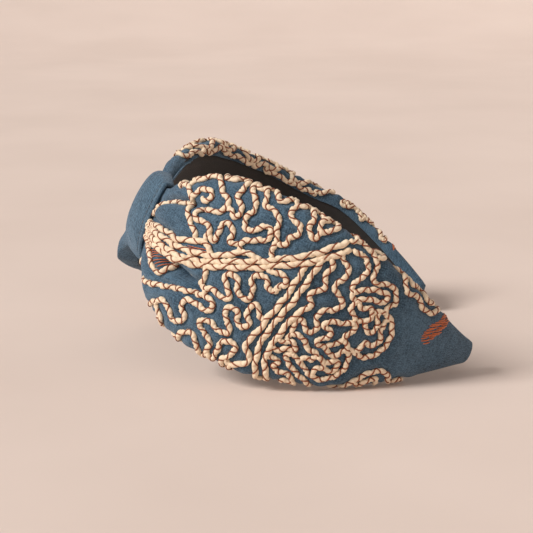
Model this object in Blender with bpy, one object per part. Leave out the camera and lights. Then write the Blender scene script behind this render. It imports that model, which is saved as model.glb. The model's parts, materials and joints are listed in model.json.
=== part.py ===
"""A wide knotted headband, in metres. It leans on the lower edges of its arms with the knot end raised.

The design frame lies in the plane of the hoop: x runs from the crown to the tips, y across the head and z across
the band. The empty "lean" tips that frame forward and stands it on z = 0. A place on an arm is given by s, the
distance along the hoop from the crown (negative on the right arm), n, the height above the hoop's middle surface
away from the head, and z, the distance across the band.
"""

import math

import bmesh
import bpy
import numpy as np
from mathutils import Matrix, Vector
from mathutils.geometry import interpolate_bezier

MM = 0.001

# The hoop's plan.
CROWN_X = 8.0 * MM
WIDEST_X = 78.4 * MM
HALF_SPREAD = 69.2 * MM
REACH = 139.8 * MM
TIP_HALF_GAP = 45.0 * MM
TIP_TURN = math.radians(42.0)
TIP_HANDLE = 23.0 * MM
QUARTER_ROUND = 0.5523
LEAN = math.radians(21.4)

# The band, as (distance along the hoop, value) in millimetres.
HALF_WIDTH = ((8, 14), (15, 14.8), (24, 19), (36, 25), (50, 31), (64, 33.6), (80, 33.8), (100, 30.8), (124, 24.2), (145, 15.2), (160, 8.2), (170, 3.4))
CREST = ((8, 3.4), (15, 3.8), (21, 6.9), (32, 9.5), (58, 9.0), (100, 7.0), (145, 5.0), (170, 3.2))
EDGE_LIFT = ((8, 0.6), (15, 0.6), (36, 2.0), (80, 0.0), (170, 0.0))
CREST_POWER = 0.75

# Layers, by height above the hoop's middle surface.
GAP = 0.3 * MM
CLOTH = 0.9 * MM
BACK = 2.2 * MM
HOOP_TOP = 0.5 * MM
HOOP_BOTTOM = -1.0 * MM
HOOP_INSET = 3.0 * MM
FOAM_BOTTOM = 0.8 * MM
FOAM_INSET = 3.3 * MM
FOAM_DROP = 1.7 * MM
HEM = 7.0 * MM
EDGE_ROUND = 2.5 * MM

# Where the pieces start and end along the hoop.
PIVOT_S = 9.1 * MM
CROWN_END = 8.8 * MM
HOOP_START = 9.4 * MM
COVER_START = 10.6 * MM
FOAM_START = 16.0 * MM
FOAM_END = 148.0 * MM
LINING_START = 11.0 * MM
HOOP_END = 164.0 * MM
COVER_END = 168.0 * MM
TIP_FOLD = 2.6 * MM

# The knot.
KNOT_HALF_LENGTH = 14.5 * MM
KNOT_HALF_HEIGHT = 17.6 * MM
KNOT_CREST = 11.0 * MM
KNOT_EDGE_CREST = 7.4 * MM
KNOT_BACK = 3.7 * MM
KNOT_CLOTH = 1.1 * MM
CORE_HALF_HEIGHT = 13.6 * MM
CORE_CREST = 8.6 * MM
CORE_EDGE_CREST = 4.0 * MM

# Couched cord, and its routes on the cover as (s, z) in millimetres.
CORD_R = 1.4 * MM
CORD_LIFT = 0.6 * MM
STRAND_OUTLINE = ((0.5, 0.45), (0.3, 1), (-0.3, 1), (-0.5, 0.45), (-0.36, 0), (0.36, 0))
STEM_ROUTE = ((17, -0.5), (28, -1), (42, -1.5), (55, 1), (66, 4.5), (76, 8), (86, 14), (95, 21))
BRANCH_ROUTE = ((96, 13.5), (93, 7), (91, 0), (89, -10), (88, -20), (88.5, -28.5))
PETAL_ROUTE = (
    (102, 26.5), (108, 27.5), (114, 25.5), (115.5, 20.5), (119.5, 18.5), (124.5, 17.5), (126.5, 12.5),
    (122.5, 8.5), (126.5, 6), (129, 0), (127, -7), (121.5, -9.5), (119.5, -13.5), (118, -19.5),
    (112.5, -22), (108, -26.5), (101, -28.5),
)
UPPER_VINE_ROUTE = (
    (36, 17.5), (41, 23), (47, 26.5), (52, 24), (49.5, 19.5), (54, 16.5), (59.5, 19.5), (59, 25.5), (63, 30),
    (68, 26.5), (66.5, 20), (70.5, 16), (75.5, 19.5), (75, 26), (79, 30), (84.5, 27), (84.5, 20.5),
)
LOWER_VINE_ROUTE = (
    (31, -15), (38, -16.5), (46, -15.5), (54, -12.5), (59.5, -15.5), (56.5, -20), (49.5, -20), (46, -24),
    (51.5, -27), (58, -25), (63, -29), (68, -25.5), (64.5, -20), (68.5, -15.5), (74.5, -18.5), (74, -25.5),
    (78, -30), (82.5, -25), (80.5, -17.5),
)
UPPER_SPRIG_ROUTE = ((127, 21), (131.5, 17), (136.5, 17.5), (140.5, 13), (146.5, 11.8))
LOWER_SPRIG_ROUTE = ((121.5, -23), (126.5, -18), (132.5, -14.5), (136.5, -16.3))
SATIN_ROUTE = ((143.5, 1.5), (147, 5.5), (152.5, 8.8))

COLOURS = {
    "chambray": ((0.065, 0.125, 0.205), 0.85),
    "lining": ((0.016, 0.015, 0.014), 0.8),
    "cord": ((0.84, 0.68, 0.46), 0.65),
    "satin": ((0.42, 0.10, 0.025), 0.45),
    "plastic": ((0.03, 0.03, 0.03), 0.45),
    "foam": ((0.78, 0.76, 0.70), 0.95),
}


def smooth(s, stations):
    """The value at s of a curve through the stations, level where they turn."""
    at = np.array([station[0] for station in stations]) * MM
    value = np.array([station[1] for station in stations]) * MM
    slope = np.gradient(value, at)
    step = np.diff(value)
    slope[1:-1][step[1:] * step[:-1] <= 0] = 0
    s = min(max(abs(s), at[0]), at[-1])
    i = min(int(np.searchsorted(at, s, "right")) - 1, len(at) - 2)
    width = at[i + 1] - at[i]
    t = (s - at[i]) / width
    start = (2 * t**3 - 3 * t**2 + 1) * value[i] + (t**3 - 2 * t**2 + t) * width * slope[i]
    end = (3 * t**2 - 2 * t**3) * value[i + 1] + (t**3 - t**2) * width * slope[i + 1]
    return float(start + end)


def hoop_line():
    """Points of the hoop's left half in plan, with their distances from the crown."""
    widest = Vector((WIDEST_X, HALF_SPREAD, 0))
    tip = Vector((REACH, TIP_HALF_GAP, 0))
    first = interpolate_bezier(
        Vector((CROWN_X, 0, 0)),
        Vector((CROWN_X, QUARTER_ROUND * HALF_SPREAD, 0)),
        widest - Vector((QUARTER_ROUND * (WIDEST_X - CROWN_X), 0, 0)),
        widest,
        200,
    )
    second = interpolate_bezier(
        widest,
        widest + Vector((TIP_HANDLE, 0, 0)),
        tip + TIP_HANDLE * Vector((-math.cos(TIP_TURN), math.sin(TIP_TURN), 0)),
        tip,
        200,
    )
    points = np.array(first + second[1:])
    steps = np.linalg.norm(np.diff(points, axis=0), axis=1)
    return points, np.concatenate([[0], np.cumsum(steps)])


LINE, LENGTHS = hoop_line()


def on_line(s):
    """The hoop's point at s, on straight past the end of the line."""
    inside = min(s, LENGTHS[-1])
    point = Vector([float(np.interp(inside, LENGTHS, LINE[:, axis])) for axis in range(3)])
    return point + Vector((math.cos(TIP_TURN), -math.sin(TIP_TURN), 0)) * float(s - inside)


def place(s, n, z):
    """The design-frame point at s along the hoop, n above it and z across it. Negative s is the right arm."""
    near = on_line(max(abs(s) - 0.5 * MM, 0))
    along = (on_line(abs(s) + 0.5 * MM) - near).normalized()
    if abs(s) < 0.5 * MM:
        along = Vector((0, 1, 0))
    point = on_line(abs(s)) + Vector((-along.y, along.x, 0)) * float(n)
    return Vector((point.x, math.copysign(1, s) * point.y if s else point.y, z))


def surface(s, z):
    """The height of the cover's outer face."""
    edge = smooth(s, EDGE_LIFT)
    across = min(abs(z) / smooth(s, HALF_WIDTH), 1)
    return edge + (smooth(s, CREST) - edge) * (1 - across**2) ** (CREST_POWER / 2)


def material(slot):
    found = bpy.data.materials.get(slot)
    if found:
        return found
    made = bpy.data.materials.new(slot)
    made.use_nodes = True
    colour, roughness = COLOURS[slot]
    shader = made.node_tree.nodes["Principled BSDF"]
    shader.inputs["Base Color"].default_value = (*colour, 1)
    shader.inputs["Roughness"].default_value = roughness
    shader.inputs["Metallic"].default_value = 0
    made.diffuse_color = (*colour, 1)
    return made


def empty(name, parent, location=(0, 0, 0)):
    made = bpy.data.objects.new(name, None)
    made.location = location
    made.parent = parent
    bpy.context.scene.collection.objects.link(made)
    return made


def solid(name, bm, slot, parent):
    """An object from a closed mesh in the design frame, under a parent whose origin is parent.location."""
    bmesh.ops.recalc_face_normals(bm, faces=bm.faces)
    if parent.parent:
        bmesh.ops.transform(bm, matrix=Matrix.Translation(-parent.location), verts=bm.verts)
    mesh = bpy.data.meshes.new(name)
    bm.to_mesh(mesh)
    bm.free()
    mesh.shade_smooth()
    mesh.set_sharp_from_angle(angle=math.radians(50))
    mesh.materials.append(material(slot))
    made = bpy.data.objects.new(name, mesh)
    made.parent = parent
    bpy.context.scene.collection.objects.link(made)
    return made


def loft(name, rings, slot, parent):
    """A closed body through rings of points, with flat ends."""
    bm = bmesh.new()
    loops = [[bm.verts.new(point) for point in ring] for ring in rings]
    for low, high in zip(loops, loops[1:]):
        skin(bm, low, high)
    bm.faces.new(loops[0])
    bm.faces.new(loops[-1])
    return solid(name, bm, slot, parent)


def skin(bm, low, high):
    """The faces between two rings of the same number of points."""
    for i in range(len(low)):
        j = (i + 1) % len(low)
        bm.faces.new((low[i], low[j], high[j], high[i]))


def stations(start, end, spacing):
    return np.linspace(start, end, max(2, round(abs(end - start) / spacing) + 1))


def dome(half_width, bottom, top, sides):
    """The (n, z) points of a domed outline from its -z edge to its +z edge."""
    angles = np.linspace(math.pi, 0, sides + 1)
    return [(bottom + (top - bottom) * max(math.sin(a), 0) ** CREST_POWER, half_width * math.cos(a)) for a in angles]


def cover_outline(s, inset):
    """The (n, z) path of the cover's outer face, or of its inner face at the cloth's thickness in."""
    full = smooth(s, HALF_WIDTH)
    half_width = full - inset
    edge = smooth(s, EDGE_LIFT)
    back = inset - BACK
    corner = min(EDGE_ROUND, 0.5 * full)
    hem = full - min(HEM, 0.55 * full)
    turn = []
    for angle in (30, 60, 90):
        a = math.radians(angle)
        turn.append((edge - (edge - back) * math.sin(a), half_width - corner * (1 - math.cos(a))))
    over = dome(half_width, edge, smooth(s, CREST) - inset, 14)
    return [(back, -hem)] + [(n, -z) for n, z in reversed(turn)] + over + turn + [(back, hem)]


def plate(name, side, start, end, spacing, inset, bottom, top, slot, parent):
    """A strip of the hoop's shape, narrower than the band by inset(s) at each edge."""
    rings = []
    for s in stations(start, end, spacing):
        half = smooth(s, HALF_WIDTH) - inset(s)
        corners = ((bottom, -half), (top, -half), (top, half), (bottom, half))
        rings.append([place(side * s, n, z) for n, z in corners])
    return loft(name, rings, slot, parent)


def lining_inset(s):
    full = smooth(s, HALF_WIDTH)
    return min(HEM, 0.55 * full) + GAP


def make_cover(tag, side, parent):
    rings = []
    for s in stations(COVER_START, COVER_END, 7.5 * MM):
        path = cover_outline(s, 0) + cover_outline(s, CLOTH)[::-1]
        rings.append([place(side * s, n, z) for n, z in path])
    return loft("cover_" + tag, rings, "chambray", parent)


def make_tip_fold(tag, side, parent):
    """The closed end of the cover, rounded off."""
    rings = []
    for angle in (0, 30, 55, 75):
        a = math.radians(angle)
        s = COVER_END + GAP + TIP_FOLD * math.sin(a)
        half = smooth(s, HALF_WIDTH) * math.cos(a)
        middle = (smooth(s, CREST) - BACK) / 2
        outline = dome(half, -BACK, smooth(s, CREST), 10)
        rings.append([place(side * s, middle + (n - middle) * math.cos(a), z) for n, z in outline])
    return loft("tip_fold_" + tag, rings, "chambray", parent)


def make_foam(tag, side, parent):
    rings = []
    for s in stations(FOAM_START, FOAM_END, 11 * MM):
        outline = dome(smooth(s, HALF_WIDTH) - FOAM_INSET, FOAM_BOTTOM, smooth(s, CREST) - FOAM_DROP, 8)
        rings.append([place(side * s, n, z) for n, z in outline])
    return loft("foam_pad_" + tag, rings, "foam", parent)


def smooth_route(route, spacing):
    """Points about this far apart on a smooth curve through the route."""
    points = [Vector((s * MM, z * MM)) for s, z in route]
    points = [2 * points[0] - points[1]] + points + [2 * points[-1] - points[-2]]
    curve = []
    for before, start, end, after in zip(points, points[1:], points[2:], points[3:]):
        for t in np.linspace(0, 1, 8, endpoint=False):
            bend = (2 * before - 5 * start + 4 * end - after) * t**2 + (3 * start - before - 3 * end + after) * t**3
            curve.append(start + ((end - before) * t + bend) / 2)
    curve.append(points[-2])
    lengths = np.concatenate([[0], np.cumsum([(b - a).length for a, b in zip(curve, curve[1:])])])
    at = stations(0, lengths[-1], spacing)
    return [Vector([float(np.interp(d, lengths, [p[axis] for p in curve])) for axis in range(2)]) for d in at]


def make_cord(name, side, route, widths, spacing, slot, parent, height=2 * CORD_R):
    """A rounded strand laid on the cover along a route, from widths[0] wide to widths[1] wide."""
    points = smooth_route(route, spacing)
    rings = []
    for i, point in enumerate(points):
        along = (points[min(i + 1, len(points) - 1)] - points[max(i - 1, 0)]).normalized()
        across = Vector((-along.y, along.x))
        width = widths[0] + (widths[1] - widths[0]) * i / (len(points) - 1)
        ring = []
        for sideways, up in STRAND_OUTLINE:
            spot = point + across * (width * sideways)
            ring.append(place(side * spot.x, surface(spot.x, spot.y) + CORD_LIFT + height * up, spot.y))
        rings.append(ring)
    return loft(name, rings, slot, parent)


def make_embroidery(tag, side, parent):
    one = (2 * CORD_R, 2 * CORD_R)
    make_cord("stem_cords_" + tag, side, STEM_ROUTE, (8.4 * MM, 5.6 * MM), 6 * MM, "cord", parent)
    make_cord("branch_cords_" + tag, side, BRANCH_ROUTE, (5.6 * MM, 7.6 * MM), 6 * MM, "cord", parent)
    singles = {
        "petal_cord_": PETAL_ROUTE,
        "upper_vine_cord_": UPPER_VINE_ROUTE,
        "lower_vine_cord_": LOWER_VINE_ROUTE,
        "upper_sprig_cord_": UPPER_SPRIG_ROUTE,
        "lower_sprig_cord_": LOWER_SPRIG_ROUTE,
    }
    for name, route in singles.items():
        make_cord(name + tag, side, route, one, 3.6 * MM, "cord", parent)
    make_cord("satin_bar_" + tag, side, SATIN_ROUTE, (5 * MM, 5 * MM), 5 * MM, "satin", parent, height=1 * MM)


def make_arm(tag, side, lean):
    """One arm on an empty at its flexing line, which is the hinge's axis."""
    flex = empty(tag + "_flex", lean, place(side * PIVOT_S, 0, 0))
    plate(
        "hoop_arm_" + tag, side, HOOP_START, HOOP_END, 8 * MM, lambda s: HOOP_INSET if s > 2 * PIVOT_S else 4 * MM,
        HOOP_BOTTOM, HOOP_TOP, "plastic", flex,
    )
    plate(
        "lining_" + tag, side, LINING_START, HOOP_END - 2 * MM, 8 * MM, lining_inset,
        -BACK, HOOP_BOTTOM - GAP, "lining", flex,
    )
    make_foam(tag, side, flex)
    make_cover(tag, side, flex)
    make_tip_fold(tag, side, flex)
    make_embroidery(tag, side, flex)


def make_crown(lean):
    half = CORE_HALF_HEIGHT - 3 * MM
    for name, slot, bottom, top in (
        ("hoop_crown", "plastic", HOOP_BOTTOM, HOOP_TOP),
        ("lining_crown", "lining", -BACK, HOOP_BOTTOM - GAP),
    ):
        rings = []
        for s in stations(-CROWN_END, CROWN_END, 4 * MM):
            rings.append([place(s, n, z) for n, z in ((bottom, -half), (top, -half), (top, half), (bottom, half))])
        loft(name, rings, slot, lean)
    rings = []
    for s in stations(-CROWN_END, CROWN_END, 3.5 * MM):
        fade = math.cos(0.5 * math.pi * s / CROWN_END)
        crest = CORE_EDGE_CREST + (CORE_CREST - CORE_EDGE_CREST) * fade
        rings.append([place(s, n, z) for n, z in dome(CORE_HALF_HEIGHT, FOAM_BOTTOM, crest, 10)])
    loft("gather_core", rings, "chambray", lean)
    make_knot(lean)


def knot_outline(s, inset):
    """The (n, z) loop of the strap's outer face, or of its inner face."""
    fade = math.cos(0.5 * math.pi * s / KNOT_HALF_LENGTH) ** 0.7
    crest = KNOT_EDGE_CREST + (KNOT_CREST - KNOT_EDGE_CREST) * fade - inset
    half = KNOT_HALF_HEIGHT - inset
    back = KNOT_BACK - inset
    top = [(crest * math.sin(a) ** CREST_POWER, half * math.cos(a)) for a in np.linspace(0, math.pi, 15)[1:-1]]
    corner = 3 * MM
    low = [(-back * 0.6, -half + 0.3 * corner), (-back, -half + corner), (-back, 0), (-back, half - corner)]
    return [(0, half)] + top + [(0, -half)] + low + [(-back * 0.6, half - 0.3 * corner)]


def make_knot(lean):
    bm = bmesh.new()
    outer = []
    inner = []
    for s in stations(-KNOT_HALF_LENGTH, KNOT_HALF_LENGTH, 3.7 * MM):
        outer.append([bm.verts.new(place(s, n, z)) for n, z in knot_outline(s, 0)])
        inner.append([bm.verts.new(place(s, n, z)) for n, z in knot_outline(s, KNOT_CLOTH)])
    for rings in (outer, inner):
        for low, high in zip(rings, rings[1:]):
            skin(bm, low, high)
    for end in (0, -1):
        skin(bm, outer[end], inner[end])
    solid("knot_wrap", bm, "chambray", lean)


def stand(lean):
    """Lifts the leaning assembly so that its box's bottom centre is the origin."""
    bpy.context.view_layer.update()
    corners = [obj.matrix_world @ vertex.co for obj in bpy.data.objects if obj.type == "MESH" for vertex in obj.data.vertices]
    low = np.min(corners, axis=0)
    high = np.max(corners, axis=0)
    lean.location = (-(low[0] + high[0]) / 2, -(low[1] + high[1]) / 2, -low[2])


def main():
    for obj in list(bpy.data.objects):
        bpy.data.objects.remove(obj)
    lean = empty("lean", None)
    lean.rotation_euler = (0, LEAN, 0)
    make_crown(lean)
    make_arm("left", 1, lean)
    make_arm("right", -1, lean)
    stand(lean)


main()
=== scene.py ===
"""Looks of a wide knotted headband: chambray cloth over foam, gathered under a strap, with couched cord.

The design frame is part.py's: s runs along the hoop from the crown, n is the height above the hoop's
middle surface and z runs across the band. Pieces are worked out there in millimetres, and make_object
turns them into row-frame metres.
"""
import json
import math

import bpy
import numpy as np
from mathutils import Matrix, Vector, kdtree


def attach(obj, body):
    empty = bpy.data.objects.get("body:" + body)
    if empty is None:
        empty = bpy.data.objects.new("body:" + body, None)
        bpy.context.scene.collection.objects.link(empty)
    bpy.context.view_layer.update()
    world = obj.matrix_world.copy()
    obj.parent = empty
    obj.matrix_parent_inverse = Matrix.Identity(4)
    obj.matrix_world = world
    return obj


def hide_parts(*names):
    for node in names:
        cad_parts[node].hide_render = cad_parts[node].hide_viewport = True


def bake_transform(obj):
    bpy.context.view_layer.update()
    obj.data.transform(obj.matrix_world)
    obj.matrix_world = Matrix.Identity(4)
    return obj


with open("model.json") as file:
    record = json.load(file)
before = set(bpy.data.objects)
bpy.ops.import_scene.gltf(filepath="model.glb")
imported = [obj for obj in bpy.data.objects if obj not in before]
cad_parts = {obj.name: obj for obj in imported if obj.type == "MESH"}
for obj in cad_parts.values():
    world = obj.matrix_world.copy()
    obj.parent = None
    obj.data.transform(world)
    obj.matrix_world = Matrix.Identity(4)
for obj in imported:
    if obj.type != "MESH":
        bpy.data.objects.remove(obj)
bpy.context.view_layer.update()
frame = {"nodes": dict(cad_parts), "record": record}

MM = 0.001

# The hoop's plan, as in part.py.
CROWN_X = 8.0
WIDEST_X = 78.4
HALF_SPREAD = 69.2
REACH = 139.8
TIP_HALF_GAP = 45.0
TIP_TURN = math.radians(42.0)
TIP_HANDLE = 23.0
QUARTER_ROUND = 0.5523
LEAN = math.radians(21.4)
PIVOT_S = 9.1

# The band, as (distance along the hoop, value). Under the knot the cover rises to the gathered core.
HALF_WIDTH = (
    (0, 13.4), (8, 14.3), (15, 16), (24, 19.8), (36, 25.5), (50, 31.2), (64, 33.6), (80, 33.8),
    (100, 30.8), (124, 24.2), (145, 15.2), (160, 8.6), (166, 6.4), (172, 4.6),
)
CREST = (
    (0, 7.6), (5, 6.8), (10, 3.6), (14, 2.0), (17, 2.5), (21, 3.9), (26, 5.9), (32, 8.2), (39, 9.4),
    (58, 9.0), (100, 7.0), (145, 5.0), (171, 3.4),
)
# The left arm's lower side, where the cloth spreads as it leaves the knot.
FLARE = ((0, 0), (8, 3.6), (15, 8.5), (24, 7.5), (34, 4.5), (46, 1.5), (56, 0))
FLARE_PUFF = ((0, 0), (6, 3.2), (12, 6.8), (17, 6.2), (26, 2.4), (36, 0.6), (46, 0))
# The puff starts this share of the half width below the middle.
SWELL_FROM = 0.42
# How far each arm's upper edge stands off the even outline.
LEFT_TOP = (
    (0, 0), (20, 0.5), (50, 0.8), (60, -0.6), (70, -2.0), (82, -2.8), (100, -2.2), (112, -0.6),
    (122, 2.0), (132, 2.6), (150, 3.0), (165, 2.4), (173, 1.0),
)
RIGHT_TOP = ((0, 0), (15, -1.0), (26, -2.0), (38, -1.2), (50, 0), (173, 0))
EDGE_LIFT = ((0, 1.0), (15, 0.6), (36, 2.0), (80, 0.0), (170, 0.0))
CREST_POWER = 0.75
BACK = 2.2
HEM = ((0, 1.2), (30, 1.6), (44, 4.2), (58, 6.2), (100, 6.2), (130, 4.4), (173, 3))
EDGE_ROUND = 2.5
COVER_START = 0.02
COVER_END = 170.2
TIP_FOLD = 2.8
CLOTH = 0.6
# The foam's run along the arm, its distance in from the edge and under the cover, and its heights n.
FOAM_START = 25
FOAM_END = 148
FOAM_INSET = 3.5
FOAM_DROP = 2.0
FOAM_LOWEST = 1.3
FOAM_FLOOR = 0.8
LINING_END = 163.6
LINING_CLOTH = 0.32
LINING_TUCK = 1.4
# The stitched cords press the cloth in over this run, by this much, and it puffs up beside them.
QUILTED = (22, 152)
QUILT_DEPTH = 0.8
QUILT_PUFF = 0.25
# A gap too wide for a stitch to press on anything.
FAR_OFF = 9.0
# The gathers beside the strap, as (waves across the half width, height).
GATHER_WAVES = ((9, 0.34), (15, 0.26), (23, 0.16))

# Creases of the gathers, as (route in (s, w), depth, half width of the furrow).
CREASES = (
    (((12, 8), (18, 8.6), (24, 10.4), (29, 13.4), (35, 16), (43, 17.2), (51, 18)), 3.0, 1.5),
    (((12, 2.4), (20, 2.2), (28, 3.6), (35, 3.4), (42, 3.0)), 1.7, 1.3),
    (((12, -4), (22, -4.6), (32, -5.6), (38, -6)), 1.3, 1.2),
    (((43, -6.6), (48, -7.4), (54, -8.8), (60, -10.6)), 4.2, 1.8),
    (((12, -8), (22, -9.6), (30, -12), (38, -14), (46, -15), (52, -14.4)), 1.7, 1.6),
    (((12, -11.6), (21, -15), (29, -18.6), (35, -21.6)), 2.0, 1.4),
    (((12, 11.6), (20, 14.6), (28, 18.6), (33, 21)), 1.5, 1.3),
)
# Puffs between the creases, as (s, w, along, across, height).
PUFFS = (
    (36, 9.5, 9, 4.6, 1.3), (34, -15, 10, 4.5, 0.8), (27, 19.5, 10, 4.5, 0.8), (54, -18, 12, 6, 0.6),
    (40, -1, 9, 3.5, 0.9), (52, 12, 12, 6, 0.5), (51, -4.2, 8, 2.2, 2.8), (50.5, -9.4, 6, 2.8, -5),
    (27, 7.5, 6, 4.5, 1.4),
)

STEMS = (
    ((7.6, -4.4), (12, -4.6), (16.6, -4.8), (21.5, -5.2), (27, -5.3), (34, -4.3), (41, -4.1), (48, -4.2),
     (55, -3.2), (61, -1.3), (67, 1.4), (73, 4), (79, 6.8), (85, 10.6), (91, 13.8), (96, 17.6),
     (101, 21.6), (105.5, 25)),
    ((8.4, -2.8), (12, -3), (16.4, -3.2), (21, -3.4), (27, -3), (34, -2.1), (41, -2.2), (48, -2.6),
     (55, -1.4), (61, 0.5), (67, 3.5), (73, 6.3), (79, 9.3), (84.6, 13), (90.4, 16.4), (95.4, 20.4),
     (99.6, 24.2), (103.4, 27.6)),
    ((9.6, -1.4), (12.8, -1.5), (16.4, -1.6), (21.4, -1.4), (27, -0.5), (34, 0.3), (41, 0.4), (48, 0.2),
     (55, 1.3), (61.4, 3.1), (66, 5.6), (70, 8.6), (74.6, 9.8), (78.4, 9.4)),
    ((10.2, 0), (13, -0.1), (16.8, -0.2), (22.4, 0.4), (29, 1.9), (37, 2.7), (45, 2.6), (50, 4),
     (54.6, 6), (59, 5.8), (61.4, 3.4)),
)
BRANCHES = (
    ((93.6, 16.4), (92.4, 12.4), (91.8, 8.4), (91, 4.4), (90, -1), (88.4, -6), (86.9, -11), (85.9, -15.6),
     (84.2, -19.4), (83.6, -22.6), (85.7, -25), (86, -28), (83.8, -30.2), (80.4, -31.8)),
    ((99.6, 20.4), (97, 17), (96, 12.6), (95, 8), (94, 3.2), (92.8, -1.6), (91.2, -6.6), (89.8, -11.4),
     (88.6, -16.4), (88, -21.4), (88.8, -26.4), (90, -31.8)),
    ((97.8, -1.2), (95.8, -4.2), (94.2, -8.6), (93, -13.6), (91.8, -18.6), (91.4, -23.4), (92.6, -28),
     (94.6, -31.8)),
)
UPPER_VINES = (
    ((31.5, 21.5), (36, 23), (40.5, 21.6), (43, 18.4), (45, 14.6), (48.2, 11), (51.6, 8.4)),
    ((12.8, 3.2), (17.4, 4.4), (22, 6), (26, 9), (29.6, 12.6), (34, 14.8), (39, 16), (42.8, 17.4)),
    ((37.6, 26.2), (42.6, 27), (47, 29.6), (51.6, 29.4), (54.4, 26.4), (58, 24.8), (59.2, 21.4),
     (56.4, 18.4), (51.6, 17.6), (48.8, 15), (51.2, 12.8), (55.4, 13.4), (57.4, 10.8), (57, 8.8)),
    ((44.2, 20.8), (45.8, 23.6), (49.8, 24.4), (51.8, 22.2), (50.4, 20.4), (47.4, 20.8)),
    ((55.4, 31.6), (60, 33.8), (61.6, 30.4), (60.6, 27.4), (63.4, 25), (65.2, 21.8), (62.8, 19.8),
     (61.4, 21.6)),
    ((64, 34.2), (64.8, 31), (68, 28.4), (68.8, 24.6), (67.4, 21.2), (68.6, 18.2), (72, 18), (74, 21),
     (77.2, 21), (77.8, 17.8), (74.6, 15.6), (71.2, 14), (69.4, 11.4)),
    ((60.4, 8.8), (60.6, 12.4), (60.8, 15.6), (63.4, 16.8), (65.4, 14), (65.8, 10.6)),
    ((68.6, 34.4), (70.4, 31.4), (71.8, 28.4), (75.2, 27.8), (78, 26.2), (79, 22.8), (80, 19.4),
     (80.6, 16.4), (80, 13.6)),
    ((72.6, 33.8), (76, 31.8), (79.2, 33.8)),
    ((85.4, 33.8), (82, 32.2), (80.8, 29.6), (83, 27.6), (86, 26), (86.6, 23.2), (84.2, 21.4), (84, 18.2)),
    ((88, 33.2), (89.2, 30), (88.8, 26.6), (90.8, 24.6), (92.6, 24.4)),
    ((94.6, 32.6), (92, 30.2), (92.6, 27.6), (96, 28.4), (98, 31)),
)
LOWER_VINES = (
    ((61.8, -3), (61.8, -6), (60.8, -8.8)),
    ((63.4, -9), (66.8, -8), (70, -9.4), (72.6, -8.6), (71.4, -5.4), (69, -2.6), (70, 0.2), (73, -0.4),
     (74.2, -3.6), (76.4, -6.2), (79.2, -5.4), (79.4, -2), (77.8, 1), (79, 4), (82, 4), (83.8, 1.2),
     (86.6, 0.4)),
    ((82, 7.2), (85, 7.4), (88, 7.4), (88.6, 4.6), (87, 3.2)),
    ((17.6, -14.4), (23, -16.6), (29.4, -18.6), (34, -19), (39, -18.2), (44, -16.8), (49, -15.4),
     (54, -14), (59, -12.6), (62, -12.4)),
    ((64.4, -11.4), (67.6, -12.6), (68.4, -15.2), (65.2, -16.4), (61.4, -15.6), (58, -16.4), (57, -19.2),
     (59.4, -21.8), (58.2, -24.8), (55, -25.8), (52.6, -23.2), (49.6, -20.8), (46.4, -22), (43, -24.2),
     (39.6, -26.4)),
    ((47, -26), (49, -28.2), (47.6, -31)),
    ((84.6, -10.2), (83.2, -6.8), (80.8, -7.6), (80.4, -11), (82.2, -14), (80.4, -16.6), (78, -14.6),
     (76.8, -11.2), (73.8, -11.6), (73.4, -15), (76, -17.8), (76.4, -21), (73, -21.4), (69.4, -19.8),
     (66, -20.4), (66, -23.4), (69, -25.2), (71.2, -28), (70.4, -31.6)),
    ((57.4, -32), (59.6, -28.8), (62.8, -27), (65.4, -29), (67, -32.4)),
    ((73.6, -32.8), (74.6, -28.6), (75.4, -25), (78.4, -23.2), (80.8, -25.2), (79.4, -28.4), (77, -31.6)),
)
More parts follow.
